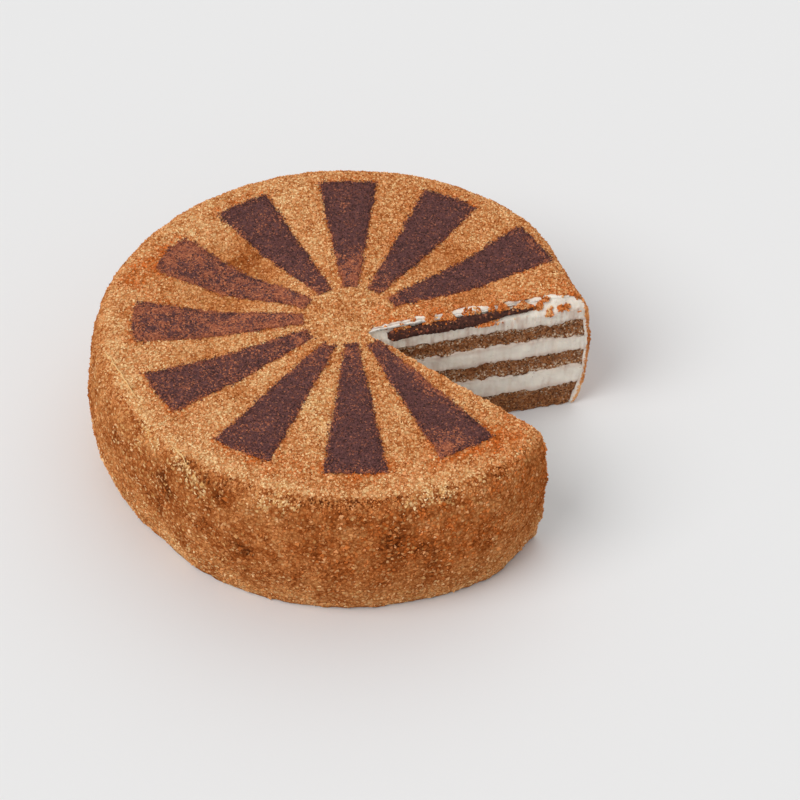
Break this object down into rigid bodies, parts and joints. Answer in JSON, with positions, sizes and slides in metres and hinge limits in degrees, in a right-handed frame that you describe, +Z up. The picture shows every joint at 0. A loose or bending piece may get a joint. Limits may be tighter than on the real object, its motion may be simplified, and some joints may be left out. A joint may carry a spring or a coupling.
{
  "type": "medovik honey cake",
  "caption": "Round layered honey cake with one wedge taken out: sponge and cream show at the cut, crumb covers the top and side, and dark cocoa rays fan out on top.",
  "frame": {"origin": "centre of the round base, where the cake rests", "axes": "+Z up through the top, and the notch left by the missing wedge opens towards +X"},
  "size_m": [0.1928, 0.1997, 0.0569],
  "materials": {
    "sponge": "porous brown sponge",
    "cream": "soft matt cream",
    "crumb": "coarse golden crumb",
    "torn_crumb": "damp torn crumb",
    "cocoa": "fine dark cocoa crumb"
  },
  "bodies": {
    "root": {"sponge_bottom": "sponge", "sponge_middle": "sponge", "sponge_top": "sponge", "cream_lower": "cream", "cream_upper": "cream", "frosting": "cream", "crumb_coat": "crumb", "torn_crumb_strip": "torn_crumb", "cocoa_sliver": "cocoa", "cocoa_ray_01": "cocoa", "cocoa_ray_02": "cocoa", "cocoa_ray_03": "cocoa", "cocoa_ray_04": "cocoa", "cocoa_ray_05": "cocoa", "cocoa_ray_06": "cocoa", "cocoa_ray_07": "cocoa", "cocoa_ray_08": "cocoa", "cocoa_ray_09": "cocoa", "cocoa_ray_10": "cocoa"}
  },
  "joints": []
}
